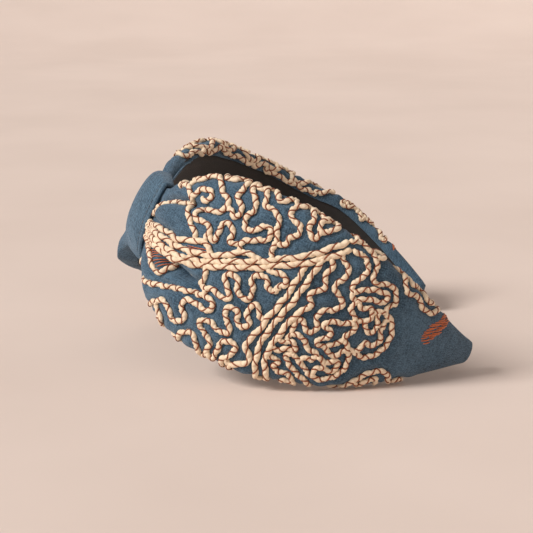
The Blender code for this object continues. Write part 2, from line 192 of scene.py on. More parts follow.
FLOWER = (
    ((103.4, 27.6), (107.4, 28.6), (111.4, 27.2), (115, 24.8), (116.2, 21), (115.8, 17.6), (119, 16.8),
     (122.8, 17.8), (126, 15.6), (127, 12), (124.8, 9.4)),
    ((121.8, 7.2), (125.6, 7), (128.6, 4.2), (129.8, 0.2), (129.4, -4), (127.6, -8), (124.2, -10.8),
     (120.4, -10.8), (118.2, -9.4)),
    ((114, -6.2), (116.8, -9.8), (118.6, -13.8), (118.4, -18), (115.8, -22), (111.2, -24.4),
     (106.6, -23.2), (103, -20.6), (99.8, -18.8)),
    ((97.6, -20.4), (100.4, -23.4), (104.6, -25.8), (108.8, -27.8), (111.4, -30.6)),
    ((105.5, 25), (109.4, 24.6), (112.4, 22.4), (113, 18.8), (111, 15.8), (110, 12.2), (111.4, 9.4)),
    ((112.4, 12), (115.4, 13.6), (119, 14.4), (122.8, 14), (123.2, 11.4), (120, 10.6), (116.6, 10.4),
     (113.6, 8.6), (112.2, 5.6), (113.8, 3)),
    ((102.8, 22.6), (104, 20.6), (106.2, 18.8), (107, 15.8), (105, 12.6), (104.6, 9.4), (107.6, 7.6),
     (109, 4.6), (106.8, 2.2), (103.6, 0.6), (102.4, -2.4), (103.8, -5.6), (102.6, -8.6), (99.8, -7.4),
     (98.2, -4.8), (96.8, -7), (96.2, -9.8)),
    ((101.4, 17.8), (100.2, 14.6), (100.4, 11.4), (101.4, 8.2), (98.6, 6.6), (97.6, 3.6), (99.4, 1)),
    ((113.6, -0.4), (110.4, -1.6), (107.2, -2), (105.8, -4.4), (108.6, -5.4), (108.8, -8), (106, -9.4),
     (106.2, -12), (109, -11.8), (111, -13.8), (114.2, -13.4), (115.2, -11.4)),
    ((113, -8.6), (110.8, -10)),
    ((116.2, 1.4), (116.4, -2.2), (115, -4)),
    ((116, 6.4), (119, 7.4), (120.4, 4.8), (119, 1.8), (120.4, -1), (123, -0.6), (123.4, 2.6),
     (122.6, 4.6)),
    ((125.8, 4), (125.6, 0.6), (126.6, -2.8), (124.8, -5.8), (122, -5.4), (121, -7.8)),
    ((104.4, -14.8), (107.2, -15.4), (106.4, -18.4), (104.6, -17.8)),
    ((109.6, -16.6), (111, -19.4), (109, -21)),
    ((112.8, -16.6), (115.6, -15.8), (115.6, -19), (113, -20.4)),
    ((95.8, -12.4), (98.6, -11.2), (101.6, -12), (102.6, -14)),
    ((94.8, -15.4), (98.2, -14.4), (100, -16.6), (96.8, -17.6), (94.2, -19.4)),
    ((94, -22.8), (96.4, -24), (94.6, -26), (97.6, -27.2), (101, -26.8), (103, -29.2), (99.4, -30.4)),
)
UPPER_SPRIGS = (
    ((125, 25), (128.4, 22.4), (129, 19), (131.8, 16.6), (135.4, 16.8), (137.6, 14.2), (140.8, 12.4),
     (144.6, 12.6), (148, 15.2)),
    ((131.2, 22.8), (132.4, 20), (135.6, 20), (138.4, 18.6), (140.2, 16), (143.6, 15.6), (145.6, 17.2)),
)
LOWER_SPRIGS = (
    ((120.6, -26.4), (123.8, -22), (127, -17.6), (131, -14.6), (135, -14.6), (137.4, -17.2)),
    ((127, -22.4), (129.2, -19.4), (132, -18), (133.6, -20.4)),
    ((139.4, -17.6), (141.4, -15.6), (143.6, -15.8)),
)
# Cords that roll over the band's long edges, as (s, distance beyond the edge).
UPPER_EDGE = (
    ((38, -3), (41, 0.5), (44, 3), (47.5, 3.4), (50, 1), (53, -1), (56, 1.2), (58.5, 3.6), (62, 3.2),
     (64, 0.4), (67.5, -0.8), (70, 1.6), (73, 4), (76.5, 3.4), (79, 0.8), (82, -0.6)),
    ((30.8, 1), (33, 2.9), (36, 2), (38.6, 3.4), (41.4, 4.9)),
    ((45, 5.4), (48.6, 6), (51.6, 4.4), (54.6, 4.2), (58, 5.8)),
    ((60, 5.4), (63.6, 6), (67, 5), (70.4, 5.8), (74, 6.2)),
    ((76.6, 6.2), (79.6, 4.4), (82, 3)),
    ((96.4, 6), (100, 5.2), (103.4, 5.8), (106.8, 4.8), (110, 5.2)),
    ((84, 3.6), (87, 4.2), (89.6, 2), (92, -0.4), (95.4, 0.4), (97.4, 3), (100.6, 4.2), (103.6, 2.4),
     (106, 0)),
    ((83, 6.2), (86.4, 6.4), (89.6, 5.4), (93, 6)),
    ((110, 3.2), (113, 3.6), (115, 1.2), (118, 0.2)),
    ((123, 3), (126, 3.2), (128.6, 1), (132, 0.6), (134.4, 2.8)),
)
LOWER_EDGE = (
    ((44, 0), (47, 2.6), (50.4, 3.2), (53, 1), (56, 0.4), (59, 3), (62.4, 3.6), (65, 1.4), (68, 0),
     (71, 2.6), (74.4, 3.4), (77, 1)),
    ((80, 0.8), (83, 3.2), (86.6, 3.6), (89, 1.4), (92, 0), (95, 2), (98, 3.8), (101, 2.2), (104, 0)),
    ((112, 2.6), (115.4, 3), (118, 0.6), (121, 0.8)),
)
VEE = (
    (6.6, -5.9), (11.6, -6.2), (16.8, -6.4), (20, -6.6), (25, -6.9), (29, -7), (33, -8), (37, -10.6),
    (40.4, -12.8), (43.6, -11.6), (45.2, -8.4), (46, -5.4),
)
# Satin bar: (w, left end, right end) of its slanted stitches.
SATIN_BAR = (
    (0.8, 143.6, 146.2), (3, 142.2, 148), (5.2, 142.2, 150), (7.6, 144, 152.4), (10, 146.6, 154.4),
    (12.4, 149.4, 153),
)
LADDER = (((31.5, -7.6), (37.6, -5.4)), ((40.4, -11.2), (44.6, -7.6)))
SPINDLE = ((49.4, 1.4), (60.6, 4.0))


def smooth(s, stations):
    """The value at s of a curve through the stations, level where they turn."""
    at, value = np.array(stations, float).T
    slope = np.gradient(value, at)
    step = np.diff(value)
    slope[1:-1][step[1:] * step[:-1] <= 0] = 0
    s = np.clip(np.abs(s), at[0], at[-1])
    i = np.clip(np.searchsorted(at, s, "right") - 1, 0, len(at) - 2)
    width = at[i + 1] - at[i]
    t = (s - at[i]) / width
    start = (2 * t**3 - 3 * t**2 + 1) * value[i] + (t**3 - 2 * t**2 + t) * width * slope[i]
    end = (3 * t**2 - 2 * t**3) * value[i + 1] + (t**3 - t**2) * width * slope[i + 1]
    return start + end


def signed(s, stations):
    """smooth() for values that may pass through zero."""
    return smooth(s, tuple((at, value + 50) for at, value in stations)) - 50


def bezier(a, b, c, d):
    """Points on the cubic curve with these four handles."""
    t = np.linspace(0, 1, 200)[:, None]
    a, b, c, d = (np.array(point, float) for point in (a, b, c, d))
    return (1 - t) ** 3 * a + 3 * (1 - t) ** 2 * t * b + 3 * (1 - t) * t**2 * c + t**3 * d


def distances(points):
    """Each point's distance from the first, along the line of points."""
    return np.concatenate(([0], np.cumsum(np.linalg.norm(np.diff(points, axis=0), axis=1))))


def read_off(at, lengths, rows):
    """The rows' values at these distances."""
    return np.stack([np.interp(at, lengths, rows[:, i]) for i in range(rows.shape[1])], -1)


def hoop_line():
    """Points of the hoop's left half in plan, with their distances from the crown."""
    turn = TIP_HANDLE * np.array((-math.cos(TIP_TURN), math.sin(TIP_TURN)))
    tip = np.array((REACH, TIP_HALF_GAP))
    first = bezier(
        (CROWN_X, 0), (CROWN_X, QUARTER_ROUND * HALF_SPREAD),
        (WIDEST_X - QUARTER_ROUND * (WIDEST_X - CROWN_X), HALF_SPREAD), (WIDEST_X, HALF_SPREAD),
    )
    second = bezier((WIDEST_X, HALF_SPREAD), (WIDEST_X + TIP_HANDLE, HALF_SPREAD), tip + turn, tip)
    points = np.vstack((first, second[1:]))
    return points, distances(points)


LINE, LENGTHS = hoop_line()


def on_line(s):
    """The hoop's plan at s; past its end it runs straight on."""
    inside = np.clip(s, 0, LENGTHS[-1])
    onward = np.array((math.cos(TIP_TURN), -math.sin(TIP_TURN)))
    return read_off(inside, LENGTHS, LINE) + (s - inside)[..., None] * onward


def place(s, n, z):
    """Design-frame points at s along the hoop (negative on the right arm), n above it and z across it."""
    s, n, z = np.broadcast_arrays(np.asarray(s, float), n, z)
    far = np.abs(s)
    along = on_line(far + 0.5) - on_line(np.maximum(far - 0.5, 0))
    along[far < 0.5] = (0, 1)
    along /= np.linalg.norm(along, axis=-1, keepdims=True)
    x, y = np.moveaxis(on_line(far), -1, 0)
    x = x - along[..., 1] * n
    y = y + along[..., 0] * n
    return np.stack((x, np.where(s < 0, -y, y), z), -1)


def lean_offset():
    """Where part.py's lean empty stands, read back from the left hinge."""
    joints = frame["record"]["behaviour"]["joints"]
    hinge = np.array(next(j["pos_m"] for j in joints if j["name"] == "left_arm_flex")) / MM
    return hinge - TURN @ place(PIVOT_S, 0, 0)


TURN = np.array((
    (math.cos(LEAN), 0, math.sin(LEAN)),
    (0, 1, 0),
    (-math.sin(LEAN), 0, math.cos(LEAN)),
))
OFFSET = lean_offset()


def to_row(points):
    """Row-frame metres from design-frame millimetres."""
    return (points @ TURN.T + OFFSET) * MM


def unit(vectors):
    return vectors / np.maximum(np.linalg.norm(vectors, axis=-1, keepdims=True), 1e-9)


def linked(name, data):
    """A new object in the scene."""
    made = bpy.data.objects.new(name, data)
    bpy.context.scene.collection.objects.link(made)
    return made


def make_object(name, points, faces, material, uv=None):
    """A mesh object from design-frame points, with a UV per point in millimetres."""
    mesh = bpy.data.meshes.new(name)
    mesh.from_pydata(to_row(points).tolist(), [], faces)
    if uv is not None:
        layer = mesh.uv_layers.new(name="UVMap")
        loops = np.empty(len(mesh.loops), np.int32)
        mesh.loops.foreach_get("vertex_index", loops)
        layer.data.foreach_set("uv", uv[loops].astype(np.float32).ravel())
    mesh.validate()
    mesh.materials.append(material)
    mesh.shade_smooth()
    return linked(name, mesh)


def grid_faces(rows, columns, start=0, closed=False, flip=False):
    """Quads of a grid of points stored row by row; closed joins the last column to the first."""
    wide = columns if closed else columns - 1
    i, j = np.meshgrid(np.arange(rows - 1), np.arange(wide), indexing="ij")
    a = start + i * columns + j
    b = start + i * columns + (j + 1) % columns
    quads = np.stack((a, b, b + columns, a + columns), -1).reshape(-1, 4)
    return (quads[:, ::-1] if flip else quads).tolist()


def shell(outer, inner, flip=False, closed=False):
    """Points and faces of a sheet between two grids of the same size; closed makes it a band."""
    rows, columns = outer.shape[:2]
    count = rows * columns
    faces = grid_faces(rows, columns, 0, closed, flip) + grid_faces(rows, columns, count, closed, not flip)
    index = np.arange(count).reshape(rows, columns)
    edges = [(index[0], False), (index[-1], True)]
    if closed:
        edges = [(np.append(edge, edge[0]), turn) for edge, turn in edges]
    else:
        edges += [(index[:, 0], True), (index[:, -1], False)]
    for edge, turn in edges:
        for a, b in zip(edge, edge[1:]):
            quad = (int(b), int(a), int(a) + count, int(b) + count)
            faces.append(quad[::-1] if turn != flip else quad)
    return np.vstack((outer.reshape(-1, 3), inner.reshape(-1, 3))), faces


def distance_to(route, points):
    """Distance from each 2-D point to a polyline."""
    route = np.array(route, float)
    best = np.full(points.shape[:-1], 1e9)
    for a, b in zip(route, route[1:]):
        d = b - a
        t = np.clip(((points - a) @ d) / (d @ d), 0, 1)
        best = np.minimum(best, np.linalg.norm(points - a - t[..., None] * d, axis=-1))
    return best


def smooth_route(route, spacing):
    """Points this far apart on a smooth curve through the route."""
    p = np.array(route, float)
    p = np.vstack((2 * p[0] - p[1], p, 2 * p[-1] - p[-2]))
    t = np.linspace(0, 1, 12, endpoint=False)[:, None]
    curve = []
    for a, b, c, d in zip(p, p[1:], p[2:], p[3:]):
        square = (2 * a - 5 * b + 4 * c - d) * t**2
        cube = (3 * b - a - 3 * c + d) * t**3
        curve.append(b + 0.5 * ((c - a) * t + square + cube))
    curve = np.vstack(curve + [p[-2:-1]])
    return resample(curve, spacing)


def resample(curve, spacing, *others):
    """The curve, and any others that run with it, at places this far apart."""
    lengths = distances(curve)
    at = np.linspace(0, lengths[-1], max(3, round(lengths[-1] / spacing) + 1))
    out = [read_off(at, lengths, rows) for rows in (curve, *others)]
    return out if others else out[0]


def flared(side, s, n, z):
    """(n, z) with the arm's own upper edge, and with the left arm's lower side let out near the knot."""
    across = z / smooth(s, HALF_WIDTH)
    z = z + signed(s, LEFT_TOP if side > 0 else RIGHT_TOP) * np.clip(across, 0, 1.2) ** 1.5
    if side < 0:
        return n, z
    low = np.clip(-across, 0, 1.2)
    swell = np.sin(0.5 * math.pi * np.clip((low - SWELL_FROM) / SWELL_FROM, 0, 1))
    swell = swell * np.clip((n + BACK) / (BACK + 0.6), 0, 1)
    return n + smooth(s, FLARE_PUFF) * swell, z - smooth(s, FLARE) * low**1.3


class Cover:
    """The cover's outer face on one arm, as a grid of points with their (s, w).

    w is z on the dome, and runs on round the edge.
    """

    ROWS = 151

    def __init__(self, side):
        self.side = side
        tip = COVER_END + TIP_FOLD * np.sin(np.radians((20, 40, 55, 68, 80, 89.5)))
        self.s = np.concatenate((np.linspace(COVER_START, COVER_END, 240), tip))
        columns = [self.path(s) for s in self.s]
        self.n = np.array([column[0] for column in columns])
        self.z = np.array([column[1] for column in columns])
        self.w = np.array([column[2] for column in columns])
        self.arc = np.array([column[3] for column in columns])
        self.flat = np.stack((np.broadcast_to(self.s[:, None], self.w.shape), self.w), -1)
        base = place(side * self.s[:, None], self.n, self.z)
        self.points = base + self.normals(base) * self.relief()[..., None]
        self.normal = self.normals(self.points)

    def path(self, s):
        """Evenly spaced (n, z, w, distance) along one section, from the -z hem to the +z hem."""
        over = min(max((s - COVER_END) / TIP_FOLD, 0), 1)
        squeeze = math.cos(math.asin(over))
        full = smooth(s, HALF_WIDTH) * (0.88 + 0.12 * squeeze)
        edge = smooth(s, EDGE_LIFT)
        crest = smooth(s, CREST)
        corner = min(EDGE_ROUND, 0.5 * full)
        hem = (full - min(smooth(s, HEM), 0.55 * full)) * min(1, max(0.02, (COVER_END + 1 - s) / 6))
        a = np.linspace(math.pi / 2, 0, 121)
        n = edge + (crest - edge) * np.clip(np.sin(a), 0, None) ** CREST_POWER
        z = full * np.cos(a)
        turn = np.linspace(0, math.pi / 2, 16)[1:]
        flat = np.linspace(full - corner, hem, 12)[1:]
        n = np.concatenate((n, edge - (edge + BACK) * np.sin(turn), np.full(len(flat), -BACK)))
        z = np.concatenate((z, full - corner * (1 - np.cos(turn)), flat))
        w = z.copy()
        beyond = np.cumsum(np.hypot(np.diff(n[120:]), np.diff(z[120:])))
        w[121:] = full + beyond
        middle = (crest - BACK) / 2
        n = middle + (n - middle) * squeeze
        n, z, w = (np.concatenate((sign * half[:0:-1], half)) for sign, half in ((1, n), (-1, z), (-1, w)))
        n, z = flared(self.side, s, n, z)
        length = np.concatenate(([0], np.cumsum(np.hypot(np.diff(n), np.diff(z)))))
        at = np.linspace(0, length[-1], self.ROWS)
        return [np.interp(at, length, values) for values in (n, z, w)] + [at - length[-1] / 2]

    def normals(self, points):
        """Outward unit normals of a grid."""
        along = np.gradient(points, axis=0)
        across = np.gradient(points, axis=1)
        return unit(np.cross(along, across)) * -self.side

    def relief(self):
        """Height of the gathers, the quilting between the cords and the small wrinkles."""
        s = self.flat[..., 0]
        w = self.flat[..., 1]
        full = smooth(s, HALF_WIDTH)
        on_top = np.clip((full + 1.5 - np.abs(w)) / 3, 0, 1)
        height = np.zeros(s.shape)
        for at_s, at_w, along, across, high in PUFFS:
            height += high * np.exp(-(((s - at_s) / along) ** 2) - ((w - at_w) / across) ** 2)
        for route, depth, wide in CREASES:
            groove = depth * np.exp(-((distance_to(route, self.flat) / wide) ** 2))
            height -= groove * np.clip((s - 14) / 9, 0, 1)
        near = np.exp(-np.clip(s - 15, 0, None) / 11)
        fan = w / full
        for i, (waves, amount) in enumerate(GATHER_WAVES):
            height += amount * near * np.sin(waves * fan + 0.11 * s + 1.9 * i + 0.8 * np.sin(0.23 * s + i))
        slow = 0.16 * np.sin(0.21 * s + 0.13 * w) + 0.12 * np.sin(0.33 * w - 0.09 * s + 1.3)
        height += slow * (1 - near) * np.clip((168 - s) / 20, 0, 1)
        under = np.clip((s - 12.5) / 6, 0.12, 1)
        return height * on_top * under

    def at(self, flat):
        """(points, normals) on the face at 2-D points (s, w)."""
        columns = np.clip(np.interp(flat[:, 0], self.s, np.arange(len(self.s))), 0, len(self.s) - 1.001)
        low = columns.astype(int)
        part = (columns - low)[:, None]
        total = []
        for array in (self.points, self.normal):
            found = []
            for step in (0, 1):
                places = zip(low + step, flat[:, 1])
                row = np.array([np.interp(w, self.w[i], np.arange(self.ROWS)) for i, w in places])
                down = np.clip(row.astype(int), 0, self.ROWS - 2)
                mix = (row - down)[:, None]
                found.append(array[low + step, down] * (1 - mix) + array[low + step, down + 1] * mix)
            total.append(found[0] * (1 - part) + found[1] * part)
        return total[0], unit(total[1])

    def quilt(self, curves):
        """Presses the cloth in under the stitched cords."""
        tree = kdtree.KDTree(sum(len(curve) for curve in curves))
        for i, (s, w) in enumerate(np.vstack(curves)):
            tree.insert((s, w, 0), i)
        tree.balance()
        flat = self.flat.reshape(-1, 2)
        start, end = QUILTED
        gap = [tree.find((s, w, 0))[2] if start < s < end else FAR_OFF for s, w in flat]
        gap = np.array(gap).reshape(self.w.shape)
        press = QUILT_DEPTH * np.exp(-((gap / 1.8) ** 2)) - QUILT_PUFF * np.exp(-(((gap - 4) / 2) ** 2))
        self.points = self.points - self.normal * press[..., None]
        self.normal = self.normals(self.points)


def tube(centres, normals, tangents, widths, heights, sides, radial=None):
    """Points, faces and UVs of rings round a route on a face, closed with a point at each end."""
    across = unit(np.cross(normals, tangents))
    count = len(centres)
    angle = np.linspace(0, 2 * math.pi, sides, endpoint=False)
    scale = np.ones((count, sides)) if radial is None else radial
    side = 0.5 * widths[:, None] * np.cos(angle) * scale
    up = 0.5 * heights[:, None] * (np.sin(angle) * scale)
    rings = centres[:, None] + side[..., None] * across[:, None] + up[..., None] * normals[:, None]
    start = centres[0] - 0.3 * widths[0] * tangents[0]
    end = centres[-1] + 0.3 * widths[-1] * tangents[-1]
    points = np.vstack((rings.reshape(-1, 3), start, end))
    faces = grid_faces(count, sides, closed=True)
    last = (count - 1) * sides
    for j in range(sides):
        k = (j + 1) % sides
        faces.append((k, j, count * sides))
        faces.append((last + j, last + k, count * sides + 1))
    length = distances(centres)
    mean = float(np.mean(widths))
    u = np.broadcast_to(length[:, None], (count, sides))
    v = np.broadcast_to(angle / (2 * math.pi) * 3 * mean, (count, sides))
    uv = np.vstack((np.stack((u, v), -1).reshape(-1, 2), ((0, 0), (length[-1], 0))))
    return points, faces, uv


def joined(parts):
    """Several (points, faces, uv) as one."""
    points, faces, uvs, start = [], [], [], 0
    for part_points, part_faces, part_uv in parts:
        points.append(part_points)
        uvs.append(part_uv)
        faces.extend([tuple(i + start for i in face) for face in part_faces])
        start += len(part_points)
    return np.vstack(points), faces, np.vstack(uvs)


SIDES = 14
# A couching thread's two turning angles round its cord, and its size.
THREAD_LOW = -0.35
THREAD_HIGH = math.pi + 0.35
THREAD_WIDTH = 0.56
THREAD_HEIGHT = 0.46
# The thread lies at this share of the cord's radius, and pinches the cord this deep.
THREAD_SEAT = 0.74
PINCH = 0.42
PINCH_REACH = 0.66
CORD_SINK = 0.35


def couched(cover, route, width, height, legs, seed, lift=0.0):
    """One cord along a route, pinched by its couching thread, and that thread's pieces."""
    draw = np.random.default_rng(seed)
    points, normals = cover.at(smooth_route(route, 0.3))
    points, normals = resample(points, 0.4, normals)
    normals = unit(normals)
    length = distances(points)
    apex = [-draw.uniform(0.2, 0.8) * legs[0]]
    turn = int(draw.integers(2))
    while apex[-1] < length[-1] + legs[0]:
        apex.append(apex[-1] + legs[(len(apex) + turn) % 2] * draw.uniform(0.86, 1.16))
    apex = np.array(apex)
    leg = np.searchsorted(apex, length, "right") - 1
    bow = np.sin(math.pi * (length - apex[leg]) / (apex[leg + 1] - apex[leg])) * (1 - 2 * (leg % 2))
    aside = unit(np.cross(normals, unit(np.gradient(points, axis=0))))
    points = points + (0.1 * width * bow)[:, None] * aside
    angle = np.linspace(0, 2 * math.pi, SIDES, endpoint=False)
    radius = 0.25 * (width + height)
    gap = np.full((len(length), SIDES), FAR_OFF)
    for near in (-1, 0, 1):
        k = np.clip(leg + near, 0, len(apex) - 2)
        part = (length - apex[k]) / (apex[k + 1] - apex[k])
        rising = (k + turn) % 2 == 0
        swing = part * (THREAD_HIGH - THREAD_LOW)
        at = np.where(rising, THREAD_LOW + swing, THREAD_HIGH - swing)
        slope = (THREAD_HIGH - THREAD_LOW) * radius / (apex[k + 1] - apex[k])
        off = (angle[None] - at[:, None] + math.pi) % (2 * math.pi) - math.pi
        gap = np.minimum(gap, np.abs(off) * radius / np.sqrt(1 + slope**2)[:, None])
    twist = 0.03 * np.sin(3 * angle[None] - 2.2 * length[:, None])
    radial = 1.1 + twist - PINCH * np.exp(-((gap / PINCH_REACH) ** 2))
    tangents = unit(np.gradient(points, axis=0))
    end = np.clip(np.minimum(length, length[-1] - length) / (0.45 * width), 0, 1)
    taper = np.sqrt(np.clip(1 - (1 - end) ** 2, 0.12, 1))
    wide = width * taper
    high = height * taper
    centre = points + normals * (0.5 * height * (0.35 + 0.65 * taper) - CORD_SINK + lift)[:, None]
    cord = tube(centre, normals, tangents, wide, high, SIDES, radial)
    across = unit(np.cross(normals, tangents))
    threads = []
    for k in range(len(apex) - 1):
        if apex[k] < 0.3 or apex[k + 1] > length[-1] - 0.3:
            continue
        part = np.linspace(0, 1, 12)
        at_s = apex[k] + part * (apex[k + 1] - apex[k])
        theta = THREAD_LOW + part * (THREAD_HIGH - THREAD_LOW)
        if (k + turn) % 2:
            theta = theta[::-1]
        middle, up, aside = (read_off(at_s, length, rows) for rows in (centre, normals, across))
        off_side = 0.5 * width * THREAD_SEAT * np.cos(theta)
        off_up = 0.5 * height * THREAD_SEAT * np.sin(theta)
        spot = middle + off_side[:, None] * aside + off_up[:, None] * up
        spot += 0.06 * unit(spot - middle)
        run = unit(np.gradient(spot, axis=0))
        out = unit(spot - middle)
        sizes = (np.full(12, size) for size in (THREAD_WIDTH, THREAD_HEIGHT))
        threads.append(tube(spot, out, run, *sizes, 6))
    return cord, threads


def add_cover(cover, tag, curves):
    """The cloth of one arm, with a folded hem and a closed tip."""
    cover.quilt(curves)
    over = np.clip((cover.s - COVER_END) / TIP_FOLD, 0, 1)
    thick = CLOTH * (1 - 0.9 * over)[:, None, None]
    inner = cover.points - cover.normal * thick
    points, faces = shell(cover.points, inner, flip=cover.side < 0)
    uv = np.stack((np.broadcast_to(cover.s[:, None], cover.arc.shape), cover.arc), -1).reshape(-1, 2)
    return make_object("sewn_cover_" + tag, points, faces, MATERIALS["chambray"], np.vstack((uv, uv)))


def add_foam(cover, tag):
    """The pad under the cloth, following its gathers."""
    keep = np.flatnonzero((cover.s > FOAM_START) & (cover.s < FOAM_END))[::3]
    tops, bottoms = [], []
    relief = cover.relief()
    for axis, reach in ((0, 3), (1, 4)):
        relief = np.minimum.reduce([np.roll(relief, step, axis) for step in (-reach, 0, reach)])
    for i in keep:
        half = smooth(cover.s[i], HALF_WIDTH) - FOAM_INSET
        z = np.linspace(-half, half, 31)
        dome = cover.n[i] > -BACK + 0.01
        row = np.interp(z, cover.z[i][dome], np.arange(cover.ROWS)[dome])
        n = np.interp(row, np.arange(cover.ROWS), cover.n[i] + relief[i])
        tops.append(place(cover.side * cover.s[i], np.maximum(n - FOAM_DROP, FOAM_LOWEST), z))
        bottoms.append(place(cover.side * cover.s[i], FOAM_FLOOR, z))
    points, faces = shell(np.array(tops), np.array(bottoms), flip=cover.side < 0)
    return make_object("shaped_foam_" + tag, points, faces, MATERIALS["foam"])


def add_lining(side, tag):
    """Dark cloth inside the hoop, tucked under the hems."""
    s = np.linspace(COVER_START, LINING_END, 160)[:, None]
    full = smooth(s, HALF_WIDTH)
    hem = full - np.minimum(smooth(s, HEM), 0.55 * full)
    across = np.linspace(-1, 1, 41)[None]
    z = across * np.minimum(hem + LINING_TUCK, full - 0.9)
    edge = np.clip((np.abs(z) - hem + LINING_TUCK) / LINING_TUCK, 0, 1)
    ripple = 0.1 * np.sin(0.35 * s + 2 * across) * np.sin(2.2 * across + 0.05 * s)
    over_crown = 0.37 * np.clip((12 - s) / 3, 0, 1) * (1 - edge)
    rolled = 0.55 * edge**2 * (3 - 2 * edge)
    wavy = ripple * (1 - edge) * np.clip((s - 6) / 8, 0, 1)
    n = -1.98 - over_crown + rolled + wavy
    fade = np.clip((s - 9) / 5, 0, 1) * (1 - edge)
    gather = 0.6 * np.exp(-np.clip(s - 12, 0, None) / 22) * np.sin(11 * across + 0.1 * s) * fade
    drop = flared(side, s, n, z)[1]
    outer = place(side * s, n - gather, drop)
    inner = place(side * s, n - gather + LINING_CLOTH, drop)
    points, faces = shell(outer, inner, flip=side > 0)
    uv = np.stack(np.broadcast_arrays(s, z), -1).reshape(-1, 2)
    return make_object("inner_lining_" + tag, points, faces, MATERIALS["lining"], np.vstack((uv, uv)))


# The strap's two edges, as (degrees round the band from its top over the front, s).
KNOT_NEAR = ((0, 13), (30, 14), (90, 14.4), (140, 14), (180, 12.5), (230, 11), (300, 11.5), (360, 13))
KNOT_FAR = (
    (0, 12.5), (40, 13.6), (75, 13.4), (95, 11.5), (112, 7.5), (126, 2.5), (142, -3), (160, -7.5),
    (180, -8.5), (215, -3), (260, 6), (310, 11), (360, 12.5),
)
KNOT_CREST = 9.4
KNOT_LIP = 3.2
KNOT_TOP = 18.2
KNOT_BOTTOM = 17.6
KNOT_BACK = 3.4
KNOT_CLOTH = 0.7
# Half the strap's run along the hoop, where its bulge ends and where its sides are drawn in.
KNOT_RUN = 15.2
KNOT_DRAWN = 14.3
# The sewn line's distance from the folded edge.
KNOT_MARGIN = 2.1


def knot_grid(reach, angle):
    """Design-frame points of the strap; reach runs from 0 to 1 across it and angle once round the band."""
    degrees = np.degrees(angle)
    s = -smooth(degrees, KNOT_NEAR) * (1 - reach) + signed(degrees, KNOT_FAR) * reach
    bulge = np.cos(0.5 * math.pi * np.clip(s / KNOT_RUN, -1, 1)) ** 0.9
    crest = KNOT_LIP + (KNOT_CREST - KNOT_LIP) * bulge
    half = np.where(np.cos(angle) > 0, KNOT_TOP, KNOT_BOTTOM) - 2.3 * (s / KNOT_DRAWN) ** 2
    front = crest * np.clip(np.sin(angle), 0, None) ** (0.9 - 0.35 * np.cos(angle))
    back = KNOT_BACK * np.clip(-np.sin(angle), 0, None) ** 0.45
    return place(s, front - back, half * np.cos(angle))


def knot_width(angle):
    """The strap's width at this angle round the band."""
    degrees = np.degrees(angle)
    return smooth(degrees, KNOT_NEAR) + signed(degrees, KNOT_FAR)


def outward(normals, points):
    """The normals, turned round if they point towards the points' middle."""
    middle = points.reshape(-1, 3).mean(0)
    return -normals if np.sum(normals * (points - middle)) < 0 else normals


def knot_surface():
    """Outer and inner grids of the strap, with its folded edges and sewn line."""
    reach = 0.5 + 0.5 * np.sin(np.linspace(-0.5 * math.pi, 0.5 * math.pi, 61))[:, None]
    angle = np.linspace(0, 2 * math.pi, 160, endpoint=False)[None]
    outer = knot_grid(reach, angle)
    along = np.gradient(outer, axis=0)
    across = np.roll(outer, -1, 1) - np.roll(outer, 1, 1)
    normal = outward(unit(np.cross(across, along)), outer)
    margin = np.minimum(reach, 1 - reach) * knot_width(angle)
    rise = 0.3 * np.exp(-((margin / 1.3) ** 2)) - 0.26 * np.exp(-(((margin - KNOT_MARGIN) / 0.4) ** 2))
    rise -= 0.35 * np.exp(-((margin / 0.3) ** 2))
    s = (reach - 0.5) * 28
    pull = 0.06 * np.sin(0.9 * s + 2.5 * np.sin(angle)) + 0.04 * np.sin(1.7 * s - 3 * np.cos(angle) + 1)
    outer = outer + normal * (rise + pull)[..., None]
    inner = outer - normal * (KNOT_CLOTH + 0.5 * np.exp(-((margin / 1.6) ** 2)))[..., None]
    return outer, inner


def add_knot():
    """The strap, as a closed band of cloth."""
    outer, inner = knot_surface()
    points, faces = shell(outer, inner, flip=True, closed=True)
    rows = len(outer)
    steps = np.linalg.norm(np.diff(outer, axis=1), axis=-1)
    length = np.concatenate((np.zeros((rows, 1)), np.cumsum(steps, axis=1)), 1)
    across = np.broadcast_to(np.linspace(-14, 14, rows)[:, None], length.shape)
    uv = np.stack((across, length), -1).reshape(-1, 2)
    # The strap's material is a lighter copy of the chambray, with painted light.
    return make_object("knot_strap", points, faces, MATERIALS["strap"], np.vstack((uv, uv)))


def add_knot_stitching():
    """Short stitches along both folded edges of the strap."""
    parts = []
    for far in (False, True):
        angle = np.linspace(0.1, math.pi - 0.35, 900)
        reach = KNOT_MARGIN / knot_width(angle)
        if far:
            reach = 1 - reach
        line = knot_grid(reach, angle)
        step = 0.02
        u = knot_grid(reach + step, angle) - knot_grid(reach - step, angle)
        v = np.gradient(line, axis=0)
        normal = outward(unit(np.cross(u, v)), line)
        line, normal = resample(line, 0.25, normal)
        for i in range(2, len(line) - 9, 9):
            spot = line[i : i + 7]
            out = unit(normal[i : i + 7])
            sink = 0.14 * np.sin(np.linspace(0, math.pi, 7)) - 0.12
            spot = spot + out * sink[:, None]
            run = unit(np.gradient(spot, axis=0))
            parts.append(tube(spot, out, run, np.full(7, 0.34), np.full(7, 0.28), 6))
    points, faces, uv = joined(parts)
    return make_object("knot_stitching", points, faces, MATERIALS["stitching"], uv)


def stitch(cover, start, end, rise, width, count=9):
    """One straight stitch lying on the cover between two (s, w) places."""
    flat = np.linspace(start, end, count)
    centre, normal = cover.at(flat)
    bow = np.sin(np.linspace(0, math.pi, count)) ** 0.5
    centre = centre + normal * (rise * bow - 0.15)[:, None]
    thick = width * (0.6 + 0.4 * bow)
    return tube(centre, normal, unit(np.gradient(centre, axis=0)), thick, thick * 0.8, 6)


